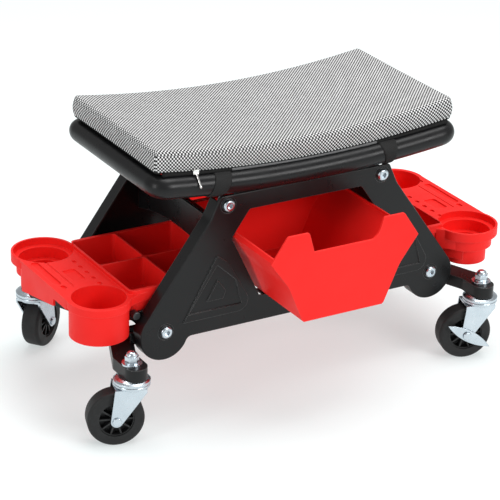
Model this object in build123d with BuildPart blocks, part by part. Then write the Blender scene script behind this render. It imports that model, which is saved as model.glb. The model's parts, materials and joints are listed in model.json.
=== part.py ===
"""Rolling mechanic's creeper seat, millimetres.

X runs along the seat, -Y is the front, +Z is up and the floor is Z = 0.
The origin is the middle of the wheel base, on the floor.
"""
from build123d import *
from math import cos, pi, radians, sin
import os

os.makedirs("parts", exist_ok=True)

# ---------------------------------------------------------------- driving dimensions
wheel_radius = 31.75
wheel_width = 22
hub_radius = 20
stem_x = 231
stem_y = 124.4
trail = 18.5
race_top = 79

panel_y = 97.7
sheet = 2
flange_depth = 18
panel_top = 254.6
panel_bottom = 95
lobe_x = 176.5
lobe_z = 103
lobe_radius = 30
upper_bolt = (100, 243.3)
lower_bolt = (175.4, 106.9)

ring_half_length = 186
ring_half_width = 98.5
ring_tube = 12.7
ring_mid_z = 268
tube_rise = 11.5
tube_radius = ring_half_length**2 / (2 * tube_rise)
saddle_rise = 13.5
saddle_radius = ring_half_length**2 / (2 * saddle_rise)
strap_places = (-110, 100)

cushion_half_length = 191.3
cushion_half_width = 98.7
cushion_thickness = 26.2
cushion_gap = 0.6

bin_front_y = 182
bin_back_y = 1.5
bin_wall = 2.5

tray_top = 149
tray_rim = 153.5
tray_floor = 116.2
tray_wall = 2.5
cup_x = 240
bar_outer_x = 275
bar_inner_x = 207
well_inner_x = 74
well_half_width = 75

pin_places = {-1: 204, 1: 186}
pin_reach = {-1: 9, 1: 4.3}
pin_foot = {-1: -6.5, 1: 4.9}
pin_z = 126
pin_radius = 4.8

beam_bottom = 79
beam_top = 93
beam_width = 26


def save(part, name):
    """Label a finished solid and write it as its own file."""
    part.label = name
    export_step(part, f"parts/{name}.step")


def group(solids):
    """Gather separate solids into one compound."""
    return Compound(children=list(solids))


def tube_z(x):
    """Height of the seat tube's centre line at a distance x from the middle."""
    return ring_mid_z + x * x / (2 * tube_radius)


def saddle_z(x):
    """Height the cushion is drawn from, which rises a little faster than the tube."""
    return ring_mid_z + x * x / (2 * saddle_radius)


# ---------------------------------------------------------------- side panels
def panel_outline():
    """Trapezoid with a round lobe at each foot, drawn in X and Z."""
    tangent_x = lobe_x + 0.809 * lobe_radius
    tangent_z = lobe_z + 0.588 * lobe_radius
    with BuildSketch() as outline:
        with BuildLine():
            Polyline(
                (-110, panel_top), (110, panel_top), (121.5, 229.5), (tangent_x, tangent_z),
                (lobe_x, lobe_z), (150, panel_bottom), (-150, panel_bottom), (-lobe_x, lobe_z),
                (-tangent_x, tangent_z), (-121.5, 229.5), close=True,
            )
        make_face()
        with Locations((-lobe_x, lobe_z), (lobe_x, lobe_z)):
            Circle(lobe_radius)
        top_corners = outline.vertices().filter_by(lambda v: v.Y > 250)
        fillet(top_corners, 5)
        shoulders = outline.vertices().filter_by(lambda v: 225 < v.Y < 235)
        fillet(shoulders, 25)
        throats = outline.vertices().filter_by(lambda v: abs(v.Y - panel_bottom) < 0.5)
        fillet(throats, 7)
    return outline.sketch


def side_panel():
    """Pressed front panel: flat face, rolled edge, bin opening and embossed triangles."""
    outline = panel_outline()
    inner = offset(outline, -sheet, mode=Mode.PRIVATE)
    face = Plane.XZ.offset(panel_y)
    with BuildPart() as panel:
        with BuildSketch(face):
            add(outline)
        extrude(amount=-flange_depth)
        with BuildSketch(face.offset(-sheet)):
            add(inner)
        extrude(amount=-flange_depth, mode=Mode.SUBTRACT)
        with Locations((0, sheet - panel_y + flange_depth / 2, panel_top)):
            Box(240, flange_depth, 12, mode=Mode.SUBTRACT)
        rolled = panel.edges().filter_by(lambda e: abs(e.center().Y + panel_y) < 0.01)
        fillet(rolled, 1.6)
        with BuildSketch(face):
            with BuildLine():
                Polyline(
                    (-72.7, 234), (72.7, 234), (95, 203), (57, 126), (-57, 126), (-95, 203), close=True
                )
            opening = make_face()
            fillet(opening.vertices(), 4)
        extrude(amount=-sheet, mode=Mode.SUBTRACT)
        with Locations((0, -panel_y + flange_depth / 2, 125)):
            Box(104, flange_depth, sheet)
        for middle_x in (-113, 127):
            with BuildSketch(face) as emboss:
                with BuildLine():
                    Polyline(
                        (middle_x - 41, 113), (middle_x + 42, 113), (middle_x + 40, 130),
                        (middle_x + 14, 175.5), (middle_x, 186), close=True,
                    )
                make_face()
                fillet(emboss.vertices().sort_by(Axis.X)[-1], 13)
                fillet(emboss.vertices().sort_by(Axis.Y)[-1], 3)
                with BuildLine():
                    Polyline((middle_x - 35, 122), (middle_x, 175), (middle_x + 24, 153),
                             (middle_x + 32, 122), close=True)
                make_face(mode=Mode.SUBTRACT)
                with BuildLine():
                    Polyline((middle_x - 12, 133), (middle_x + 1, 156), (middle_x + 12, 142),
                             (middle_x + 8, 133), close=True)
                make_face()
            extrude(amount=1.5)
        with Locations(*[(s * upper_bolt[0], -panel_y, upper_bolt[1]) for s in (-1, 1)]):
            Cylinder(4.1, 12, rotation=(90, 0, 0), mode=Mode.SUBTRACT)
        with Locations(*[(s * lower_bolt[0], -panel_y, lower_bolt[1]) for s in (-1, 1)]):
            Cylinder(4.1, 12, rotation=(90, 0, 0), mode=Mode.SUBTRACT)
        with BuildSketch(face):
            with Locations(*[(s * x, z) for s in (-1, 1) for x, z in (upper_bolt, lower_bolt)]):
                Circle(9.6)
                Circle(7.3, mode=Mode.SUBTRACT)
        extrude(amount=-0.9, mode=Mode.SUBTRACT)
    return panel.part


panel_front = side_panel()
save(panel_front, "side_panel_front")
save(Rot(0, 0, 180) * panel_front, "side_panel_rear")


# ---------------------------------------------------------------- seat ring
def seat_ring():
    """Round tube bent to a rectangle whose long sides sag into a saddle."""
    corner = 13
    end_x = ring_half_length
    side_y = ring_half_width
    turn_x = end_x - corner
    turn_y = side_y - corner
    end_z = tube_z(end_x)
    turn_z = tube_z(turn_x)
    slope = turn_x / tube_radius
    with BuildPart() as ring:
        with BuildLine():
            Line((-end_x, 0, end_z), (-end_x, -turn_y, end_z))
            Spline((-end_x, -turn_y, end_z), (-turn_x, -side_y, turn_z),
                   tangents=((0, -1, 0), (1, 0, -slope)))
            ThreePointArc((-turn_x, -side_y, turn_z), (0, -side_y, ring_mid_z),
                          (turn_x, -side_y, turn_z))
            Spline((turn_x, -side_y, turn_z), (end_x, -turn_y, end_z),
                   tangents=((1, 0, slope), (0, 1, 0)))
            Line((end_x, -turn_y, end_z), (end_x, 0, end_z))
        with BuildSketch(Plane((-end_x, 0, end_z), x_dir=(1, 0, 0), z_dir=(0, -1, 0))):
            Circle(ring_tube)
            Circle(ring_tube - 1.5, mode=Mode.SUBTRACT)
        sweep()
        mirror(about=Plane.XZ)
    return ring.part


save(seat_ring(), "seat_ring")


def saddle_slab(half_length, half_width, low, high):
    """Slab that follows the saddle, low and high measured from the saddle line."""
    with BuildPart() as slab:
        with BuildSketch(Plane.XZ):
            with BuildLine():
                ends = saddle_z(half_length)
                lower = ThreePointArc((-half_length, ends + low), (0, ring_mid_z + low),
                                      (half_length, ends + low))
                upper = ThreePointArc((-half_length, ends + high), (0, ring_mid_z + high),
                                      (half_length, ends + high))
                Line(lower @ 0, upper @ 0)
                Line(lower @ 1, upper @ 1)
            make_face()
        extrude(amount=half_width, both=True)
    return slab.part


with BuildPart() as pan:
    add(saddle_slab(175, 88, 9, 11))
    fillet(pan.edges().filter_by(Axis.Z), 11)
    for strap_x in strap_places:
        for side_y in (-1, 1):
            with Locations((strap_x, side_y * 92, saddle_z(strap_x))):
                Box(28, 12, 40, mode=Mode.SUBTRACT)
save(pan.part, "seat_pan")

# ---------------------------------------------------------------- cushion and its straps
with BuildPart() as cushion:
    add(saddle_slab(cushion_half_length, cushion_half_width, ring_tube + cushion_gap,
                    ring_tube + cushion_gap + cushion_thickness))
    fillet(cushion.edges().filter_by(Axis.Z, tolerance=5), 6)
    fillet(cushion.faces().sort_by(Axis.Z)[-1].edges(), 4)
save(cushion.part, "cushion")


def strap(strap_x, side_y):
    """Elastic band round the seat tube, open where it is sewn under the cushion."""
    centre = (strap_x, side_y * ring_half_width, tube_z(strap_x))
    along = (1, 0, strap_x / tube_radius)
    with BuildPart() as band:
        with BuildSketch(Plane(centre, x_dir=(0, 1, 0), z_dir=along)):
            Circle(ring_tube + 1.7)
            Circle(ring_tube + 0.3, mode=Mode.SUBTRACT)
        extrude(amount=10.5, both=True)
        with Locations((strap_x, side_y * ring_half_width, tube_z(strap_x) + ring_tube + 10 - 1.4)):
            Box(60, 60, 20, mode=Mode.SUBTRACT)
    return band.part


save(group(strap(x, side) for x in strap_places for side in (-1, 1)), "cushion_straps")

# ---------------------------------------------------------------- zip on the cushion's front edge
zip_x = -144
zip_y = -104.3
zip_z = saddle_z(zip_x) + ring_tube + 1.2
with BuildPart() as zip_slider:
    with Locations((zip_x, -101, zip_z + 1.6)):
        Box(7, 3.8, 5)
    fillet(zip_slider.edges().filter_by(Axis.Y), 1.2)
save(zip_slider.part, "zip_slider")

pull_lean = 40
with BuildPart() as zip_pull:
    with Locations((zip_x, zip_y, zip_z)):
        Cylinder(0.8, 4, rotation=(0, 90, 0))
    down = (0, -sin(radians(pull_lean)), -cos(radians(pull_lean)))
    with BuildSketch(Plane((zip_x, zip_y, zip_z), x_dir=(1, 0, 0), z_dir=down)):
        Circle(1.1)
    extrude(amount=15)
    with Locations((zip_x, zip_y + 15 * down[1], zip_z + 15 * down[2])):
        Sphere(1.5)
save(zip_pull.part, "zip_pull")


# ---------------------------------------------------------------- lugs and spreaders at the top bolts
def seat_lug(side_x, side_y):
    """Flat lug that hangs from the seat tube behind a panel."""
    lug_top = tube_z(76) - ring_tube + 0.2
    with BuildPart() as lug:
        with BuildSketch(Plane.XZ.offset(-side_y * (panel_y - sheet))):
            with BuildLine():
                Polyline(
                    (side_x * 76, 232), (side_x * 110, 232), (side_x * 110, 252), (side_x * 91, 252),
                    (side_x * 91, lug_top), (side_x * 76, lug_top), close=True,
                )
            make_face()
            with Locations((side_x * upper_bolt[0], upper_bolt[1])):
                Circle(4.1, mode=Mode.SUBTRACT)
        extrude(amount=side_y * 3)
    return lug.part


save(group(seat_lug(a, b) for a in (-1, 1) for b in (-1, 1)), "seat_lugs")


def spreader(side):
    """Arched cross plate between the panels, with a bolted tab at each end."""
    reach = panel_y - sheet - 3
    with BuildPart() as plate:
        with BuildSketch(Plane.YZ.offset(side * 108)):
            with BuildLine():
                top = Line((-reach, 220), (reach, 220))
                Line(top @ 1, (reach, 170))
                ThreePointArc((reach, 170), (0, 184), (-reach, 170))
                Line((-reach, 170), top @ 0)
            make_face()
        extrude(amount=1.5, both=True)
        for end in (-1, 1):
            with Locations((side * 108, end * (reach - 1.5), 233)):
                Box(3, 3, 34)
            with Locations((side * 99, end * (reach - 1.5), 238)):
                Box(21, 3, 24)
            with Locations((side * upper_bolt[0], end * (reach - 1.5), upper_bolt[1])):
                Cylinder(4.1, 8, rotation=(90, 0, 0), mode=Mode.SUBTRACT)
    return plate.part


save(spreader(-1), "spreader_left")
save(spreader(1), "spreader_right")


def cross_tube(side):
    """Round spacer tube between the panels at the lower bolts."""
    reach = panel_y - sheet
    with BuildPart() as tube:
        with Locations((side * lower_bolt[0], 0, lower_bolt[1])):
            Cylinder(9, 2 * reach, rotation=(90, 0, 0))
            Cylinder(7, 2 * reach - 60, rotation=(90, 0, 0), mode=Mode.SUBTRACT)
            Cylinder(4.05, 2 * reach, rotation=(90, 0, 0), mode=Mode.SUBTRACT)
    return tube.part


save(cross_tube(-1), "cross_tube_left")
save(cross_tube(1), "cross_tube_right")


# ---------------------------------------------------------------- bolts
def button_bolt(x, z, side, shank):
    """Button-head bolt with a hexagon socket, driven in from outside a panel."""
    with BuildPart() as bolt:
        with BuildSketch(Plane.XY):
            Circle(7)
        extrude(amount=4)
        fillet(bolt.edges().sort_by(Axis.Z)[-1], 2.6)
        with BuildSketch(Plane.XY.offset(4)):
            RegularPolygon(3, 6, major_radius=False)
        extrude(amount=-2.8, mode=Mode.SUBTRACT)
        with BuildSketch(Plane.XY):
            Circle(4)
        extrude(amount=-shank)
    turn = 90 if side < 0 else -90
    return Pos(x, side * panel_y, z) * Rot(turn, 0, 0) * bolt.part


def hex_nut(across, height, bore):
    """Plain hexagon nut standing on the XY plane."""
    with BuildPart() as nut:
        with BuildSketch():
            RegularPolygon(across / 2, 6, major_radius=False)
            Circle(bore, mode=Mode.SUBTRACT)
        extrude(amount=height)
    return nut.part


corners = [(a, b) for a in (-1, 1) for b in (-1, 1)]
save(group(button_bolt(a * upper_bolt[0], upper_bolt[1], b, 16) for a, b in corners), "upper_bolts")
save(group(button_bolt(a * lower_bolt[0], lower_bolt[1], b, 28) for a, b in corners), "lower_bolts")
nut_inset = panel_y - sheet - 6
save(
    group(
        Pos(a * upper_bolt[0], b * nut_inset, upper_bolt[1]) * Rot(90 * b, 0, 0) * hex_nut(13, 6, 4.02)
        for a, b in corners
    ),
    "upper_nuts",
)


# ---------------------------------------------------------------- caster beams
def caster_beam(side):
    """Rectangular tube across the frame that flares out to the caster stems."""
    mid_x = 205
    tip_x = stem_x - 1.5
    tip_y = 130
    pin_x = pin_places[side]
    with BuildPart() as beam:
        with BuildSketch(Plane.XY.offset(beam_bottom)):
            with BuildLine():
                path = Polyline(
                    (side * tip_x, -tip_y), (side * tip_x, -104), (side * mid_x, -45),
                    (side * mid_x, 45), (side * tip_x, 104), (side * tip_x, tip_y),
                )
                offset(path, beam_width / 2, side=Side.BOTH, kind=Kind.INTERSECTION)
            make_face()
        extrude(amount=beam_top - beam_bottom)
        bends = beam.edges().filter_by(Axis.Z).filter_by(lambda e: abs(e.center().Y) < tip_y - 1)
        fillet(bends, 12)
        for end in (-1, 1):
            with Locations((side * 183, end * 53, 89.5)):
                Box(32, 6, 18)
            with BuildSketch(Plane.XZ.offset(-end * 77.5)):
                with BuildLine():
                    Polyline(
                        (side * (pin_x - 14), 90), (side * 209, 90), (side * 209, 104),
                        (side * (pin_x + pin_foot[side]), 104),
                        (side * (pin_x + pin_foot[side]), 110), (side * (pin_x + 4.9), 121),
                        (side * (pin_x + 4.9), 129), (side * (pin_x - 14), 129), close=True,
                    )
                make_face()
                with Locations((side * pin_x, pin_z)):
                    Circle(pin_radius + 0.3, mode=Mode.SUBTRACT)
                with Locations((side * pin_x, pin_z + 5)):
                    Rectangle(2 * pin_radius + 0.6, 10, mode=Mode.SUBTRACT)
            extrude(amount=1.4, both=True)
        with Locations((side * lower_bolt[0], 0, lower_bolt[1])):
            Cylinder(9.05, 200, rotation=(90, 0, 0), mode=Mode.SUBTRACT)
        with Locations(*[(side * stem_x, end * stem_y, 86) for end in (-1, 1)]):
            Cylinder(5.05, 30, mode=Mode.SUBTRACT)
    return beam.part


save(caster_beam(-1), "caster_beam_left")
save(caster_beam(1), "caster_beam_right")


# ---------------------------------------------------------------- end trays
def end_tray(side, plain_y, step_y, slot_y, recess_y):
    """Moulded tray: outer bar with two cups, and a four-compartment well."""
    bar_mid_x = side * (bar_outer_x + bar_inner_x) / 2
    well_mid_x = side * (bar_inner_x + well_inner_x) / 2
    well_length = bar_inner_x - well_inner_x + tray_wall
    plain = (side * cup_x, plain_y)
    stepped = (side * cup_x, step_y)
    toward_plain = 1 if plain_y > 0 else -1
    steps = ((37, 138), (31, 124), (25, 105))
    with BuildPart() as tray:
        with BuildSketch(Plane.XY.offset(tray_top - 3)):
            with Locations((bar_mid_x, (plain_y + step_y) / 2)):
                Rectangle(bar_outer_x - bar_inner_x, abs(plain_y - step_y))
            with Locations(stepped):
                Circle(37)
        extrude(amount=3)
        with BuildSketch(Plane.XY.offset(tray_floor)):
            with Locations((well_mid_x, 0)):
                RectangleRounded(well_length, 2 * well_half_width, 12)
        extrude(amount=tray_rim - tray_floor)
        with BuildSketch(Plane.XY.offset(tray_rim - 9)):
            with Locations((well_mid_x, 0)):
                RectangleRounded(well_length, 2 * well_half_width + 3.6, 8)
        extrude(amount=9)
        with BuildSketch(Plane.XY.offset(105)):
            with Locations(plain):
                Circle(33)
        extrude(amount=tray_top - 105)
        with BuildSketch(Plane.XY.offset(tray_top - 9)):
            with Locations(plain):
                Circle(35.7)
            with BuildLine():
                curve = ThreePointArc(
                    (side * 211, plain_y + toward_plain * 20.4), (side * 199, toward_plain * 79),
                    (side * 180, toward_plain * 76.8),
                )
                Polyline(curve @ 1, (side * 180, toward_plain * 70), (side * 211, toward_plain * 50),
                         curve @ 0)
            make_face()
        extrude(amount=9)
        for radius, low in steps:
            with BuildSketch(Plane.XY.offset(low)):
                with Locations(stepped):
                    Circle(radius)
            extrude(amount=tray_top - low)
        if side > 0:
            for low, outer_y, inner_x in ((125, 100, 196), (112, 98, 208.5)):
                with BuildSketch(Plane.XY.offset(low)):
                    with BuildLine():
                        Polyline((222, -outer_y), (inner_x, -77), (inner_x, -70), (222, -70),
                                 close=True)
                    make_face()
                extrude(amount=tray_top - low if low > 120 else 14)
        with BuildSketch(Plane.YZ.offset(side * bar_outer_x)):
            with BuildLine():
                Polyline(
                    (-toward_plain * 60, 148), (toward_plain * 55, 148), (toward_plain * 55, 137),
                    (toward_plain * 22, 137), (toward_plain * 22, 128), (-toward_plain * 60, 112),
                    close=True,
                )
            make_face()
        extrude(amount=-side * tray_wall)
        with BuildSketch(Plane.XY.offset(113)):
            with BuildLine():
                Polyline(
                    (side * bar_outer_x, -toward_plain * 58), (side * 270.5, -toward_plain * 72),
                    (side * 262, -toward_plain * 76), (side * 262, -toward_plain * 58), close=True,
                )
            make_face()
        extrude(amount=tray_top - 113)
        with BuildSketch(Plane.XY.offset(105 + tray_wall)):
            with Locations(plain):
                Circle(33 - tray_wall)
        extrude(amount=60, mode=Mode.SUBTRACT)
        for radius, low in steps:
            with BuildSketch(Plane.XY.offset(low + tray_wall)):
                with Locations(stepped):
                    Circle(radius - tray_wall)
            extrude(amount=60, mode=Mode.SUBTRACT)
        divider_x = 151
        for low_x, high_x in ((well_inner_x + tray_wall, divider_x - 1), (divider_x + 1, bar_inner_x - 1)):
            for low_y, high_y in ((-well_half_width + tray_wall, -1), (1, well_half_width - tray_wall)):
                with BuildSketch(Plane.XY.offset(tray_floor + tray_wall)):
                    with Locations((side * (low_x + high_x) / 2, (low_y + high_y) / 2)):
                        RectangleRounded(high_x - low_x, high_y - low_y, 4)
                extrude(amount=60, mode=Mode.SUBTRACT)
        with BuildSketch(Plane.XY.offset(tray_top)):
            with Locations((side * 265, slot_y)):
                SlotOverall(66, 9, rotation=90)
            with Locations((side * 264, slot_y + 44), (side * 263, slot_y - 41)):
                SlotOverall(10, 6, rotation=90)
            with Locations((side * 239, recess_y)):
                RectangleRounded(16, 31, 4)
            with Locations(*[(side * 223, recess_y + y) for y in (-32, -16, 0, 16, 32)]):
                SlotOverall(8, 5, rotation=90)
        extrude(amount=-2, mode=Mode.SUBTRACT)
        with BuildSketch(Plane.XY.offset(tray_top)):
            with Locations((side * 252.5, slot_y - 6)):
                Rectangle(3, 76)
        extrude(amount=-1, mode=Mode.SUBTRACT)
    return tray.part


def tray_pins(side):
    """Steel pins in the sides of a tray's well, which sit in the beam's open slots."""
    reach = pin_reach[side]
    with BuildPart() as pins:
        for end in (-1, 1):
            with Locations((side * pin_places[side], end * (well_half_width + reach / 2), pin_z)):
                Cylinder(pin_radius, reach, rotation=(90, 0, 0))
        tips = pins.edges().filter_by(lambda e: abs(e.center().Y) > well_half_width + reach - 0.1)
        fillet(tips, 1.2)
    return group(pins.part.solids())


save(end_tray(-1, -63.6, 76, 17, 0), "tray_left")
save(end_tray(1, 74, -76, 12, -13), "tray_right")
save(tray_pins(-1), "tray_pins_left")
save(tray_pins(1), "tray_pins_right")


# ---------------------------------------------------------------- side bins
def side_bin():
    """Pull-out bin through the front panel, with two raised horns on its front plate."""
    with BuildPart() as hopper:
        with BuildSketch(Plane.XZ.offset(bin_back_y)):
            with BuildLine():
                Polyline(
                    (-51, 128), (51, 128), (70.5, 173), (92, 204), (90, 209),
                    (-90, 209), (-92, 204), (-70.5, 173), close=True,
                )
            body = make_face()
            fillet(body.vertices().filter_by(lambda v: 170 < v.Y < 180), 40)
            fillet(body.vertices().sort_by(Axis.Y)[0:2], 5)
        extrude(amount=bin_front_y - bin_back_y)
        with BuildSketch(Plane.XZ.offset(bin_back_y + bin_wall)):
            with BuildLine():
                Polyline(
                    (-49.3, 128 + bin_wall), (49.3, 128 + bin_wall), (68, 174), (89.5, 205), (87.5, 212),
                    (-87.5, 212), (-89.5, 205), (-68, 174), close=True,
                )
            cavity = make_face()
            fillet(cavity.vertices().filter_by(lambda v: 170 < v.Y < 180), 38)
            fillet(cavity.vertices().sort_by(Axis.Y)[0:2], 4)
        extrude(amount=bin_front_y - bin_back_y - 2 * bin_wall, mode=Mode.SUBTRACT)
        with BuildSketch(Plane.XZ.offset(bin_front_y)) as front:
            with BuildLine():
                Polyline(
                    (-52, 128), (52, 128), (71.5, 173), (94.5, 204), (74.5, 233), (48, 233), (40, 206.5),
                    (-40, 206.5), (-48, 233), (-74.5, 233), (-94.5, 204), (-71.5, 173), close=True,
                )
            make_face()
            fillet(front.vertices().filter_by(lambda v: 170 < v.Y < 180), 40)
            fillet(front.vertices().filter_by(lambda v: v.Y > 230), 3)
            fillet(front.vertices().filter_by(lambda v: v.Y < 129), 5)
            fillet(front.vertices().filter_by(lambda v: abs(v.Y - 206.5) < 0.2 and v.X > 0), 20)
            fillet(front.vertices().filter_by(lambda v: abs(v.Y - 206.5) < 0.2 and v.X < -38), 2)
        extrude(amount=-bin_wall)
    return hopper.part


bin_part = side_bin()
save(bin_part, "bin_front")
save(Rot(0, 0, 180) * bin_part, "bin_rear")

# ---------------------------------------------------------------- casters, trailing along local +X
axle_z = wheel_radius
leg_y = 13.5

with BuildPart() as stem:
    with BuildSketch(Plane.XZ):
        with BuildLine():
            Polyline(
                (0, 63.9), (8, 63.9), (8, 66.2), (5, 66.2), (5, 73.3), (20.5, 73.3), (20.5, 76),
                (18.5, 77.5), (15, race_top), (5, race_top), (5, 104), (0, 104), close=True,
            )
        make_face()
    revolve(axis=Axis.Z)
    fillet(stem.edges().sort_by(Axis.Z)[-1], 1)

with BuildPart() as fork:
    with BuildSketch(Plane.XY.offset(66.5)):
        Circle(16.5)
    extrude(amount=3.5)
    with BuildSketch(Plane.XY.offset(69)):
        Circle(20.5)
    extrude(amount=4.1)
    fillet(fork.edges().filter_by(lambda e: abs(e.length - 2 * pi * 20.5) < 1), 1.5)
    for leg in (-1, 1):
        with BuildSketch(Plane.XZ.offset(-leg * (leg_y + 1))):
            with BuildLine():
                Polyline((-14.5, 69), (20.5, 69), (trail + 6.6, axle_z), (trail, axle_z),
                         (trail - 5.7, 28.4), (-14.5, 65), close=True)
            make_face()
            with Locations((trail, axle_z)):
                Circle(6.6)
        extrude(amount=1, both=True)
    with BuildSketch(Plane.XY.offset(66.5)):
        with Locations((2.75, 0)):
            Rectangle(34.5, 2 * leg_y + 4)
    extrude(amount=2.5)
    with BuildSketch(Plane.XY.offset(66.5)):
        Circle(5.06)
    extrude(amount=10, mode=Mode.SUBTRACT)
    with Locations((trail, 0, axle_z)):
        Cylinder(3.02, 50, rotation=(90, 0, 0), mode=Mode.SUBTRACT)



def axle(outer):
    """Rivet through the fork with a round head at each end, longer where it holds a pedal."""
    with BuildPart() as rivet:
        for end in (-1, 1):
            head_y = 17.6 if end == outer else 15.6
            with Locations((trail, end * head_y / 2, axle_z)):
                Cylinder(3, head_y + 1, rotation=(90, 0, 0))
            with BuildSketch(Plane.XZ.offset(-end * head_y)):
                with Locations((trail, axle_z)):
                    Circle(5)
            extrude(amount=-end * 1.8)
        heads = rivet.edges().filter_by(lambda e: abs(e.center().Y) > 17.3 and e.length > 30)
        fillet(heads.filter_by(lambda e: abs(abs(e.center().Y) - 17.6) > 0.1), 0.9)
    return rivet.part



with BuildPart() as hub:
    with BuildSketch(Plane.XZ):
        with Locations((trail, axle_z)):
            Circle(hub_radius)
    extrude(amount=9.5, both=True)
    for end in (-1, 1):
        with BuildSketch(Plane.XZ.offset(end * 9.5)):
            with Locations((trail, axle_z)):
                Circle(hub_radius - 1.4)
                Circle(6.5, mode=Mode.SUBTRACT)
        extrude(amount=-end * 7.5, mode=Mode.SUBTRACT)
        with BuildSketch(Plane.XZ.offset(end * 8.7)):
            with Locations((trail, axle_z)):
                with PolarLocations(12, 10):
                    Rectangle(13, 1.8)
        extrude(amount=-end * 7)
    with BuildSketch(Plane.XZ):
        with Locations((trail, axle_z)):
            Circle(6.5)
    extrude(amount=12.5, both=True)
    with Locations((trail, 0, axle_z)):
        Cylinder(3.06, 40, rotation=(90, 0, 0), mode=Mode.SUBTRACT)

with BuildPart() as tyre:
    with BuildSketch(Plane.XZ):
        with Locations((trail, axle_z)):
            Circle(wheel_radius)
            Circle(hub_radius, mode=Mode.SUBTRACT)
    extrude(amount=wheel_width / 2, both=True)
    fillet(tyre.edges().filter_by(lambda e: abs(e.length - 2 * pi * wheel_radius) < 1), 4)


def brake_pedal(outer):
    """Leaf-shaped rocker on the axle, outside one fork leg."""
    tilt = 31
    with BuildPart() as pedal:
        face = Plane((trail, outer * 15.7, axle_z), x_dir=(cos(radians(tilt)), 0, sin(radians(tilt))),
                     z_dir=(0, outer, 0))
        with BuildSketch(face):
            with BuildLine():
                upper = ThreePointArc((-33, -1), (-2, 6.5), (28, 0))
                ThreePointArc(upper @ 1, (0, -7.5), upper @ 0)
            make_face()
            Circle(3.05, mode=Mode.SUBTRACT)
        extrude(amount=1.2)
    return pedal.part


with BuildPart() as washer:
    with BuildSketch(Plane.XY.offset(beam_top)):
        Circle(11.2)
        Circle(5.1, mode=Mode.SUBTRACT)
    extrude(amount=2.4)
    with BuildSketch(Plane.XY.offset(beam_top + 2.4)):
        Circle(8.6)
        Circle(5.1, mode=Mode.SUBTRACT)
    extrude(amount=1.8)
with BuildPart() as acorn:
    with BuildSketch(Plane.XY.offset(beam_top + 4.2)):
        RegularPolygon(6.8, 6, major_radius=False)
    extrude(amount=6)
    with BuildSketch(Plane.XY.offset(beam_top + 10.2)):
        Circle(6.2)
    extrude(amount=5)
    fillet(acorn.faces().sort_by(Axis.Z)[-1].edges(), 4.5)
    with BuildSketch(Plane.XY.offset(beam_top + 4.2)):
        Circle(5.05)
    extrude(amount=7, mode=Mode.SUBTRACT)

washer_stack = []
nut_stack = []
casters = {
    "front_left": (-stem_x, -stem_y, 162, 0),
    "front_right": (stem_x, -stem_y, 163, 1),
    "rear_left": (-stem_x, stem_y, 38, 0),
    "rear_right": (stem_x, stem_y, 155, 1),
}
for corner_name, (x, y, heading, outer) in casters.items():
    place = Pos(x, y, 0) * Rot(0, 0, heading)
    save(place * stem.part, f"caster_stem_{corner_name}")
    save(place * fork.part, f"caster_fork_{corner_name}")
    save(place * axle(outer), f"caster_axle_{corner_name}")
    save(place * hub.part, f"wheel_hub_{corner_name}")
    save(place * tyre.part, f"tyre_{corner_name}")
    if outer:
        save(place * brake_pedal(outer), f"brake_pedal_{corner_name}")
    washer_stack.append(Pos(x, y, 0) * washer.part)
    nut_stack.append(Pos(x, y, 0) * Rot(0, 0, heading) * acorn.part)
save(group(washer_stack), "stem_washers")
save(group(nut_stack), "stem_nuts")
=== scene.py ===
"""Looks of the rolling creeper seat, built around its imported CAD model. Metres."""
import json
import math

import bmesh
import bpy
from mathutils import Matrix, Vector


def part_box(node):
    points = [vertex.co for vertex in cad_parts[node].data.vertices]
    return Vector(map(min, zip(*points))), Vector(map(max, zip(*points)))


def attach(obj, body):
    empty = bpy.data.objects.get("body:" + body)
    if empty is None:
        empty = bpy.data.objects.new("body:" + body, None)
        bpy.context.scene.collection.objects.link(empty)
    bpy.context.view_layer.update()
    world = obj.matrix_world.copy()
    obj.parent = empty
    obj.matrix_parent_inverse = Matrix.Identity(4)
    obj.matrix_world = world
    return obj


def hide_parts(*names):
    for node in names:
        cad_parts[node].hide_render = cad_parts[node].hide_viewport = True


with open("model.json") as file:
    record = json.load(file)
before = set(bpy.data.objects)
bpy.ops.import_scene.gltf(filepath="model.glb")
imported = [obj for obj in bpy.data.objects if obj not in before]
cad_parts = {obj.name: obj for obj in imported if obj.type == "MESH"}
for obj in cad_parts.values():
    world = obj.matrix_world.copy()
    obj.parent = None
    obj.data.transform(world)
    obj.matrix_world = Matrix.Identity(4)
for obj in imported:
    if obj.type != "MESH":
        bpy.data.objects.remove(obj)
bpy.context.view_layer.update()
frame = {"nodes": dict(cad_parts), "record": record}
nodes = frame["nodes"]
scene = bpy.context.scene


# ---------------------------------------------------------------- camera and lights
def direction(azimuth, elevation):
    """Unit vector of a view that looks along azimuth (0 is +Y) and down by elevation, in degrees."""
    turn = math.radians(azimuth)
    drop = math.radians(elevation)
    return Vector((-math.sin(turn) * math.cos(drop), math.cos(turn) * math.cos(drop), -math.sin(drop)))


def add_camera(place, azimuth, elevation, roll, lens):
    """Camera at a place, turned by azimuth and elevation and then rolled about its own axis."""
    forward = direction(azimuth, elevation)
    right = Vector((math.cos(math.radians(azimuth)), math.sin(math.radians(azimuth)), 0))
    up = right.cross(forward)
    tilt = math.radians(roll)
    side = math.cos(tilt) * right + math.sin(tilt) * up
    top = -math.sin(tilt) * right + math.cos(tilt) * up
    data = bpy.data.cameras.new("camera")
    data.sensor_width = 36
    data.lens = lens
    data.clip_end = 50
    camera = bpy.data.objects.new("camera", data)
    scene.collection.objects.link(camera)
    turned = Matrix((side, top, -forward)).transposed().to_4x4()
    camera.matrix_world = Matrix.Translation(place) @ turned
    scene.camera = camera


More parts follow.
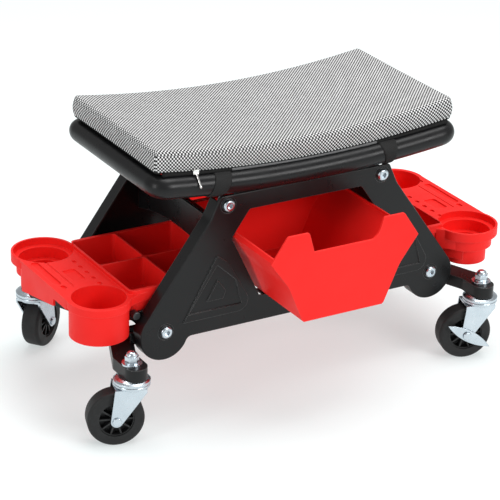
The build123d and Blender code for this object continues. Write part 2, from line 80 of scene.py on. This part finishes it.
def add_softbox(name, place, width, height, power):
    """Rectangular area light that faces the middle of the seat."""
    data = bpy.data.lights.new(name, "AREA")
    data.shape = "RECTANGLE"
    data.size = width
    data.size_y = height
    data.energy = power
    lamp = bpy.data.objects.new(name, data)
    scene.collection.objects.link(lamp)
    lamp.location = place
    lamp.rotation_euler = (seat_middle - Vector(place)).to_track_quat("-Z", "Y").to_euler()


add_camera(place=(-1.19526, -1.96341, 1.15491), azimuth=-31.07, elevation=24.02, roll=1.72, lens=155.77)
scene.view_settings.view_transform = "Standard"

world = bpy.data.worlds.new("studio")
world.use_nodes = True
world.node_tree.nodes["Background"].inputs["Color"].default_value = (1, 1, 1, 1)
world.node_tree.nodes["Background"].inputs["Strength"].default_value = 0.45
scene.world = world

seat_middle = Vector((0, 0, 0.2))
add_softbox("overhead", place=(0.3, 0.2, 2.2), width=2.0, height=1.6, power=48)
add_softbox("front_key", place=(0.9, -2.2, 1.3), width=1.2, height=0.8, power=29)
add_softbox("left_fill", place=(-2.2, -0.6, 0.9), width=0.5, height=1.2, power=12)


# ---------------------------------------------------------------- node graphs
class Graph:
    """One node material: a Principled shader, and short ways to add what feeds it."""

    def __init__(self, name):
        self.material = bpy.data.materials.new(name)
        self.material.use_nodes = True
        self.tree = self.material.node_tree
        self.tree.nodes.clear()
        output = self.tree.nodes.new("ShaderNodeOutputMaterial")
        self.shader = self.tree.nodes.new("ShaderNodeBsdfPrincipled")
        self.tree.links.new(self.shader.outputs["BSDF"], output.inputs["Surface"])

    def put(self, socket, value):
        """Feed a socket with another node's output, or with a constant."""
        if isinstance(value, bpy.types.NodeSocket):
            self.tree.links.new(value, socket)
        elif value is not None:
            socket.default_value = value

    def set(self, **values):
        """Set the shader's inputs by name, with _ for a space."""
        for key, value in values.items():
            self.put(self.shader.inputs[key.replace("_", " ")], value)

    def object_place(self):
        return self.tree.nodes.new("ShaderNodeTexCoord").outputs["Object"]

    def math(self, operation, a, b=None, c=None):
        node = self.tree.nodes.new("ShaderNodeMath")
        node.operation = operation
        for socket, value in zip(node.inputs, (a, b, c)):
            self.put(socket, value)
        return node.outputs[0]

    def noise(self, scale, detail, stretch=(1, 1, 1)):
        place = self.tree.nodes.new("ShaderNodeMapping")
        place.inputs["Scale"].default_value = stretch
        self.put(place.inputs["Vector"], self.object_place())
        node = self.tree.nodes.new("ShaderNodeTexNoise")
        node.inputs["Scale"].default_value = scale
        node.inputs["Detail"].default_value = detail
        self.put(node.inputs["Vector"], place.outputs[0])
        return node.outputs["Fac"]

    def between(self, factor, low, high):
        """Number that goes from low to high over the range where noise mostly lies."""
        noise_low = 0.3
        noise_high = 0.7
        node = self.tree.nodes.new("ShaderNodeMapRange")
        node.inputs["From Min"].default_value = noise_low
        node.inputs["From Max"].default_value = noise_high
        node.inputs["To Min"].default_value = low
        node.inputs["To Max"].default_value = high
        self.put(node.inputs["Value"], factor)
        return node.outputs["Result"]

    def mix(self, factor, a, b):
        node = self.tree.nodes.new("ShaderNodeMix")
        node.data_type = "RGBA"
        self.put(node.inputs["Factor"], factor)
        self.put(node.inputs["A"], (*a, 1) if isinstance(a, tuple) else a)
        self.put(node.inputs["B"], (*b, 1) if isinstance(b, tuple) else b)
        return node.outputs["Result"]

    def soft_edges(self, radius):
        """Normal that rounds sharp edges by a small radius."""
        node = self.tree.nodes.new("ShaderNodeBevel")
        node.samples = 4
        node.inputs["Radius"].default_value = radius
        return node.outputs["Normal"]

    def edge_highlight_mask(self, radius):
        """Mask for painted edge highlights: 0 on open faces, rising towards 1 where the rounded normal
        leaves the face's own at an edge.
        """
        contrast = 3.0
        geometry = self.tree.nodes.new("ShaderNodeNewGeometry")
        dot = self.tree.nodes.new("ShaderNodeVectorMath")
        dot.operation = "DOT_PRODUCT"
        self.put(dot.inputs[0], self.soft_edges(radius))
        self.put(dot.inputs[1], geometry.outputs["Normal"])
        return self.math("MULTIPLY", self.math("SUBTRACT", 1.0, dot.outputs["Value"]), contrast)

    def bump(self, height, distance, strength, normal=None):
        node = self.tree.nodes.new("ShaderNodeBump")
        node.inputs["Distance"].default_value = distance
        node.inputs["Strength"].default_value = strength
        self.put(node.inputs["Height"], height)
        self.put(node.inputs["Normal"], normal)
        return node.outputs["Normal"]


# ---------------------------------------------------------------- materials
def powder_coat():
    """Satin black powder coat: fine orange peel, uneven sheen, and a painted highlight that makes the edges
    lighter.
    """
    g = Graph("black_powder_coat")
    cloudy = g.noise(18, 3)
    base = g.mix(cloudy, (0.0055, 0.0055, 0.006), (0.010, 0.010, 0.0105))
    # painted highlight: the colour turns light grey along the edges
    g.set(Base_Color=g.mix(g.edge_highlight_mask(0.0012), base, (0.13, 0.13, 0.13)))
    g.set(Roughness=g.between(g.noise(60, 3), 0.26, 0.36), Specular_IOR_Level=0.24)
    peel = g.noise(1100, 2)
    g.set(Normal=g.bump(peel, 0.00005, 0.5, g.soft_edges(0.0009)))
    return g.material


def zinc_plate():
    """Bright zinc plate with faint drawn streaks and a cool tint."""
    g = Graph("bright_zinc")
    patches = g.noise(55, 4)
    g.set(Base_Color=g.mix(patches, (0.46, 0.52, 0.57), (0.66, 0.72, 0.77)), Metallic=1.0)
    g.set(Roughness=g.between(g.noise(140, 4), 0.2, 0.34))
    streaks = g.noise(900, 2, (1, 1, 0.12))
    g.set(Normal=g.bump(streaks, 0.00002, 0.5, g.soft_edges(0.0005)))
    return g.material


def polished_nickel():
    """Bright warm nickel of the zip slider and its pull."""
    g = Graph("polished_nickel")
    g.set(Base_Color=g.mix(g.noise(400, 2), (0.72, 0.71, 0.69), (0.86, 0.85, 0.83)), Metallic=1.0)
    g.set(Roughness=g.between(g.noise(300, 3), 0.14, 0.26))
    g.set(Normal=g.bump(g.noise(1500, 2), 0.00001, 0.4, g.soft_edges(0.0002)))
    return g.material


def dull_steel():
    """Dark grey steel of the tray pins, blotched and half worn."""
    g = Graph("dull_steel")
    g.set(Base_Color=g.mix(g.noise(120, 4), (0.05, 0.052, 0.055), (0.11, 0.115, 0.12)), Metallic=0.85)
    g.set(Roughness=g.between(g.noise(200, 3), 0.38, 0.55))
    g.set(Normal=g.bump(g.noise(900, 3), 0.00003, 0.5, g.soft_edges(0.0004)))
    return g.material


def red_plastic():
    """Semi-gloss moulded red, with a faint flow pattern, fine moulding grain and a painted highlight on its
    edges.
    """
    g = Graph("red_moulding")
    flow = g.noise(9, 3)
    base = g.mix(flow, (0.80, 0.010, 0.008), (0.90, 0.018, 0.014))
    # painted highlight: the colour turns a lighter red along the edges
    g.set(Base_Color=g.mix(g.edge_highlight_mask(0.0014), base, (0.95, 0.06, 0.05)))
    g.set(Roughness=g.between(g.noise(40, 3), 0.46, 0.58), Specular_IOR_Level=0.2)
    grain = g.noise(1500, 2)
    g.set(Normal=g.bump(grain, 0.00004, 0.35, g.soft_edges(0.0007)))
    return g.material


def hub_plastic():
    """Black moulded nylon of the wheel hubs, satin and finely grained."""
    g = Graph("hub_nylon")
    g.set(Base_Color=g.mix(g.noise(60, 3), (0.006, 0.006, 0.0065), (0.012, 0.012, 0.0125)))
    g.set(Roughness=g.between(g.noise(90, 3), 0.4, 0.55))
    g.set(Normal=g.bump(g.noise(1200, 2), 0.00004, 0.4, g.soft_edges(0.0005)))
    return g.material


def tyre_rubber():
    """Solid black rubber: matt, with a trace of dust on the tread."""
    g = Graph("tyre_rubber")
    dust = g.noise(220, 5)
    g.set(Base_Color=g.mix(dust, (0.009, 0.009, 0.0095), (0.018, 0.018, 0.018)))
    g.set(Roughness=g.between(g.noise(80, 4), 0.5, 0.66), Specular_IOR_Level=0.3)
    g.set(Normal=g.bump(g.noise(1400, 4), 0.00006, 0.6))
    return g.material


def weave(name, pitch, light, dark, relief):
    """Plain weave on the "weave" map: light and dark yarns cross, each a pitch wide, with painted shade
    where they dip at the cell borders.
    """
    yarn_roundness = 3.6
    g = Graph(name)
    layer = g.tree.nodes.new("ShaderNodeUVMap")
    layer.uv_map = "weave"
    parts = g.tree.nodes.new("ShaderNodeSeparateXYZ")
    g.put(parts.inputs[0], layer.outputs[0])
    across = g.math("DIVIDE", parts.outputs[0], pitch)
    along = g.math("DIVIDE", parts.outputs[1], pitch)
    cell = g.math("ADD", g.math("FLOOR", across), g.math("FLOOR", along))
    light_on_top = g.math("FLOORED_MODULO", cell, 2.0)
    in_x = g.math("SUBTRACT", g.math("FRACT", across), 0.5)
    in_y = g.math("SUBTRACT", g.math("FRACT", along), 0.5)
    crown_x = g.math("SUBTRACT", 1.0, g.math("MULTIPLY", g.math("MULTIPLY", in_x, in_x), yarn_roundness))
    crown_y = g.math("SUBTRACT", 1.0, g.math("MULTIPLY", g.math("MULTIPLY", in_y, in_y), yarn_roundness))
    height = g.math("MULTIPLY", crown_x, crown_y)
    fibre = g.noise(1900, 3)
    shade_light = g.mix(fibre, tuple(0.8 * v for v in light), light)
    shade_dark = g.mix(fibre, dark, tuple(1.6 * v + 0.006 for v in dark))
    yarn = g.mix(light_on_top, shade_dark, shade_light)
    # painted shade: the colour darkens towards each cell's border, where the yarns dip under each other
    border_shade = g.between(height, 0.55, 1.0)
    uneven = g.between(g.noise(45, 3), 0.9, 1.0)
    shaded_yarn = g.mix(border_shade, tuple(0.6 * v for v in dark), yarn)
    g.set(Base_Color=g.mix(uneven, (0, 0, 0), shaded_yarn), Roughness=0.9, Specular_IOR_Level=0.05)
    rough = g.math("ADD", height, g.math("MULTIPLY", fibre, 0.35))
    g.set(Normal=g.bump(rough, relief, 0.8))
    return g.material


def ribbed_tape(pitch):
    """Black zip tape with fine cross ribs; along the middle of the seat a painted grey highlight, lighter
    on the rib crests, and plain black at its ends.
    """
    # middle and half length of the band that carries the painted highlight
    sheen_band_middle = -0.005
    sheen_band_half_length = 0.093
    g = Graph("zip_tape")
    parts = g.tree.nodes.new("ShaderNodeSeparateXYZ")
    g.put(parts.inputs[0], g.object_place())
    wave = g.math("SINE", g.math("MULTIPLY", parts.outputs[0], 2 * math.pi / pitch))
    rib = g.math("MULTIPLY_ADD", wave, 0.5, 0.5)
    # painted highlight and shade: grey that is lighter on the rib crests and darker between them
    grey = g.mix(rib, (0.05, 0.05, 0.052), (0.22, 0.22, 0.225))
    from_middle = g.math("ABSOLUTE", g.math("SUBTRACT", parts.outputs[0], sheen_band_middle))
    in_sheen_band = g.math("LESS_THAN", from_middle, sheen_band_half_length)
    g.set(Base_Color=g.mix(in_sheen_band, (0.01, 0.01, 0.01), grey))
    g.set(Roughness=0.85, Specular_IOR_Level=0.2)
    g.set(Normal=g.bump(g.math("ADD", rib, g.noise(2500, 2)), 0.0002, 0.6))
    return g.material


materials = {
    "black_steel": powder_coat(),
    "zinc": zinc_plate(),
    "zip_metal": polished_nickel(),
    "pin_steel": dull_steel(),
    "red_plastic": red_plastic(),
    "hub_plastic": hub_plastic(),
    "tyre_rubber": tyre_rubber(),
    "tweed": weave("grey_tweed", pitch=0.0021, light=(1.0,) * 3, dark=(0.008,) * 3, relief=0.0006),
    "elastic": weave("black_elastic", pitch=0.0008, light=(0.05,) * 3, dark=(0.014,) * 3, relief=0.0002),
}
slot_of = {row["node"]: row["material_slot"] for row in frame["record"]["subparts"]}
for name, node in nodes.items():
    node.data.materials.clear()
    node.data.materials.append(materials[slot_of[name]])


# ---------------------------------------------------------------- floor
floor_half = 15
# the floor gives off some light of its own, so that light off the red parts tints it less
floor_graph = Graph("studio_floor")
floor_graph.set(Base_Color=(0.46, 0.49, 0.49, 1), Roughness=0.8, Specular_IOR_Level=0.1)
floor_graph.set(Emission_Color=(0.95, 1, 1, 1), Emission_Strength=0.5)
floor_mesh = bpy.data.meshes.new("floor")
floor_corners = [(floor_half * x, floor_half * y, 0) for x, y in ((-1, -1), (1, -1), (1, 1), (-1, 1))]
floor_mesh.from_pydata(floor_corners, [], [(0, 1, 2, 3)])
floor_mesh.materials.append(floor_graph.material)
floor = bpy.data.objects.new("floor", floor_mesh)
scene.collection.objects.link(floor)


# ---------------------------------------------------------------- cushion
def spaced(half, near, step):
    """Places from -half to half: near the ends at the given distances, then evenly."""
    inner = half - near[-1]
    count = 2 * math.ceil(inner / step)
    middle = [-inner + 2 * inner * i / count for i in range(count + 1)]
    return [-half + d for d in near[:-1]] + middle + [half - d for d in reversed(near[:-1])]


class Cushion:
    """Shape of the foam pad in its cover: a saddle with a crowned top and a band round its sides."""

    corner = 0.0055  # radius of the corners, seen from above
    top_round = 0.0045  # radius of the edge round the top
    base_round = 0.002  # radius of the edge round the base
    saddle_rise = 0.01428  # rise of the two ends above the middle
    crown = 0.0022  # rise of the top towards its middle
    crown_reach = 0.05  # distance in from the side where the crown is full
    bulge = 0.0014  # how far the band swells out at half its height
    waist = 0.0007  # how far the sides draw in at their middle
    grid_step = 0.0045

    def __init__(self, low, high):
        self.half_x = high.x
        self.half_y = high.y
        self.thick = high.z - low.z - self.saddle_rise
        self.top_end = high.z
        near = [0, 0.0008, 0.0018, 0.003, 0.0045, 0.007, 0.010]
        self.xs = spaced(self.half_x, near, self.grid_step)
        self.ys = spaced(self.half_y, near, self.grid_step)
        self.ws = [0, 0.03, 0.07, 0.12, 0.2, 0.32, 0.46, 0.6, 0.74, 0.86, 0.93, 0.97, 1]

    def saddle(self, x):
        """Height of the top without its crown."""
        return self.top_end - self.saddle_rise * (1 - (x / self.half_x) ** 2)

    def plan(self, x, y):
        """Round the corners of a rectangle and draw its sides in a little between them."""
        over_x = abs(x) - (self.half_x - self.corner)
        over_y = abs(y) - (self.half_y - self.corner)
        if over_x > 0 and over_y > 0:
            shrink = max(over_x, over_y) / math.hypot(over_x, over_y)
            x = math.copysign(self.half_x - self.corner + over_x * shrink, x)
            y = math.copysign(self.half_y - self.corner + over_y * shrink, y)
        along_x = 1 - (x / self.half_x) ** 2
        along_y = 1 - (y / self.half_y) ** 2
        return (x * (1 - self.waist * along_y / self.half_x), y * (1 - self.waist * along_x / self.half_y))

    def rounding(self, inset, radius):
        """Drop of a rounded edge at a distance in from the side."""
        if inset >= radius:
            return 0
        return radius - math.sqrt(radius * radius - (radius - inset) ** 2)

    def place(self, x, y, w, skin):
        """Point of the top, the base, or the band at w of its height, for a place in the rectangle."""
        inset = min(self.half_x - abs(x), self.half_y - abs(y))
        px, py = self.plan(x, y)
        top = self.saddle(px)
        base = top - self.thick
        if skin == "top":
            crown = self.crown * min(1, inset / self.crown_reach) ** 0.7
            return Vector((px, py, top + crown - self.rounding(inset, self.top_round)))
        if skin == "base":
            return Vector((px, py, base + self.rounding(inset, self.base_round)))
        z = base + self.base_round + (self.thick - self.base_round - self.top_round) * w
        out = self.bulge * (1 - (2 * w - 1) ** 2)
        return Vector((px * (1 + out / self.half_x), py * (1 + out / self.half_y), z))


def run_lengths(points):
    """Distance along a row of points, from the first."""
    total = [0]
    for here, there in zip(points, points[1:]):
        total.append(total[-1] + (there - here).length)
    return total


def build_cushion(shape):
    """Cover of the cushion: tweed on top and round the band, black cloth on the base and at its rim."""
    base_seam_row = 2
    top_seam_depth = 0.0002
    base_seam_depth = 0.0005
    xs, ys, ws = shape.xs, shape.ys, shape.ws
    across = run_lengths([shape.place(x, 0, 1, "top") for x in xs])
    along = run_lengths([shape.place(0, y, 1, "top") for y in ys])
    up = run_lengths([shape.place(0, ys[0], w, "band") for w in ws])
    mesh = bmesh.new()
    weave_map = mesh.loops.layers.uv.new("weave")
    last_x, last_y, last_w = len(xs) - 1, len(ys) - 1, len(ws) - 1
    verts = {}
    for i, x in enumerate(xs):
        for j, y in enumerate(ys):
            verts[i, j, "top"] = mesh.verts.new(shape.place(x, y, 1, "top"))
            verts[i, j, "base"] = mesh.verts.new(shape.place(x, y, 0, "base"))
    rim = [(i, 0) for i in range(last_x)] + [(last_x, j) for j in range(last_y)]
    rim += [(i, last_y) for i in range(last_x, 0, -1)] + [(0, j) for j in range(last_y, 0, -1)]
    for i, j in rim:
        for k in range(1, last_w):
            verts[i, j, k] = mesh.verts.new(shape.place(xs[i], ys[j], ws[k], "band"))
        verts[i, j, 0] = verts[i, j, "base"]
        verts[i, j, last_w] = verts[i, j, "top"]
    for i in range(last_x):
        for j in range(last_y):
            for skin in ("top", "base"):
                ring = [(i, j), (i + 1, j), (i + 1, j + 1), (i, j + 1)]
                if skin == "base":
                    ring.reverse()
                face = mesh.faces.new([verts[a, b, skin] for a, b in ring])
                face.material_index = 1 if skin == "base" else 0
                for loop, (a, b) in zip(face.loops, ring):
                    loop[weave_map].uv = (across[a], along[b])
    run = run_lengths([verts[(*spot, last_w)].co for spot in rim + rim[:1]])
    for n in range(len(rim)):
        a, b = rim[n], rim[(n + 1) % len(rim)]
        for k in range(last_w):
            corners = [(a, k, run[n]), (b, k, run[n + 1]), (b, k + 1, run[n + 1]), (a, k + 1, run[n])]
            face = mesh.faces.new([verts[(*c, row)] for c, row, _ in corners])
            face.material_index = 1 if k < 1 else 0
            for loop, (c, row, length) in zip(face.loops, corners):
                loop[weave_map].uv = (length, up[row])
    mesh.normal_update()
    sew = {}
    for i, j in rim:
        sew[verts[i, j, last_w]] = top_seam_depth
        sew[verts[i, j, base_seam_row]] = base_seam_depth
    for vert, depth in sew.items():
        vert.co -= vert.normal * depth
    return link_mesh("cushion_cover", mesh, materials["tweed"], materials["elastic"])


def link_mesh(name, mesh, *slots):
    """Turn an edit mesh into a smooth-shaded object with these materials."""
    data = bpy.data.meshes.new(name)
    mesh.to_mesh(data)
    mesh.free()
    for polygon in data.polygons:
        polygon.use_smooth = True
    for material in slots:
        data.materials.append(material)
    piece = bpy.data.objects.new(name, data)
    scene.collection.objects.link(piece)
    return piece


def build_zip_tape(shape, from_x, to_x):
    """Rolled zip tape along the foot of the cushion's front side, thicker towards its ends."""
    roll = 0.0012
    stand_off = 0.0013
    waver = 0.0001
    sides = 10
    steps = 90
    turns = [2 * math.pi * k / sides for k in range(sides)]
    mesh = bmesh.new()
    rings = []
    for n in range(steps + 1):
        x = from_x + (to_x - from_x) * n / steps
        swell = roll * (x / shape.half_x) ** 2
        foot = shape.place(x, shape.ys[0], 0, "base") + Vector((0, -stand_off, -stand_off - swell))
        radius = roll + waver * math.sin(n * 1.7) + swell
        rings.append([mesh.verts.new(foot + radius * Vector((0, math.cos(t), math.sin(t)))) for t in turns])
    for here, there in zip(rings, rings[1:]):
        for k in range(sides):
            after = (k + 1) % sides
            mesh.faces.new((here[k], here[after], there[after], there[k]))
    mesh.faces.new(rings[0][::-1])
    mesh.faces.new(rings[-1])
    bmesh.ops.recalc_face_normals(mesh, faces=mesh.faces)
    return link_mesh("zip_tape", mesh, ribbed_tape(0.0009))


# ---------------------------------------------------------------- elastic straps
strap_width = 0.021
tube = 0.0127
ring_low, ring_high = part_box("seat_ring")
tube_line_y = ring_high.y - tube
tube_end_x = ring_high.x - tube
tube_rise = ring_high.z - ring_low.z - 2 * tube


def tube_height(x):
    """Height of the seat tube's centre line."""
    return ring_low.z + tube + tube_rise * (x / tube_end_x) ** 2


def add_strap(mesh, weave_map, middle_x, side, lean, taper):
    """One band of webbing round the tube, with both ends tucked under the cushion.

    It leans and tapers towards the tube's underside, and is slack once it is clear of the cushion.
    """
    end_gap = 8  # degrees from the tube's top to each end
    slack_from = 18  # degrees from the tube's top to where the slack starts
    slack_over = 30  # degrees over which it grows
    clearance = 0.00015
    thin = 0.0009
    edge_thinning = 0.6
    slack_swell = 0.0004
    ripple_height = 0.00012
    ripples_round = 9
    ripples_across = 5
    edge_shift = 0.001
    turns = 72
    columns = 14
    grid = {}
    for n in range(turns + 1):
        degrees = end_gap + (360 - 2 * end_gap) * n / turns
        angle = math.radians(degrees)
        low = (1 - math.cos(angle)) / 2
        slack = min(1, max(0, (180 - abs(degrees - 180) - slack_from) / slack_over))
        for c in range(columns + 1):
            u = c / columns - 0.5
            x = middle_x + lean * low + strap_width * u * (1 - taper * low)
            body = (thin + slack_swell * slack) * (1 - (2 * u) ** 8 * edge_thinning)
            ripple = ripple_height * slack * math.sin(ripples_round * angle + ripples_across * u)
            for skin, reach in (("in", tube + clearance), ("out", tube + clearance + body + ripple)):
                y = side * (tube_line_y + reach * math.sin(angle))
                grid[n, c, skin] = mesh.verts.new((x, y, tube_height(x) + reach * math.cos(angle)))

    def quad(spots, shift):
        face = mesh.faces.new([grid[spot] for spot in spots])
        for loop, (n, c, _) in zip(face.loops, spots):
            loop[weave_map].uv = (strap_width * c / columns, 2 * math.pi * tube * n / turns + shift)

    for n in range(turns):
        for c in range(columns):
            for skin in ("in", "out"):
                quad([(n, c, skin), (n + 1, c, skin), (n + 1, c + 1, skin), (n, c + 1, skin)], 0)
        for c in (0, columns):
            quad([(n, c, "in"), (n + 1, c, "in"), (n + 1, c, "out"), (n, c, "out")], edge_shift)
    for n in (0, turns):
        for c in range(columns):
            quad([(n, c, "in"), (n, c + 1, "in"), (n, c + 1, "out"), (n, c, "out")], edge_shift)


def build_straps():
    """Four straps: the left two lean outwards, the right two narrow under the tube."""
    from_end = 0.0106
    mesh = bmesh.new()
    weave_map = mesh.loops.layers.uv.new("weave")
    low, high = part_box("cushion_straps")
    for side in (-1, 1):
        add_strap(mesh, weave_map, low.x + from_end, side, lean=-0.011, taper=0.1)
        add_strap(mesh, weave_map, high.x - from_end, side, lean=0.001, taper=0.5)
    bmesh.ops.recalc_face_normals(mesh, faces=mesh.faces)
    return link_mesh("elastic_straps", mesh, materials["elastic"])


cushion_shape = Cushion(*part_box("cushion"))
cover = build_cushion(cushion_shape)
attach(cover, "frame")
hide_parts("cushion")

tape = build_zip_tape(cushion_shape, from_x=-0.183, to_x=0.183)
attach(tape, "frame")

straps = build_straps()
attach(straps, "frame")
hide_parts("cushion_straps")
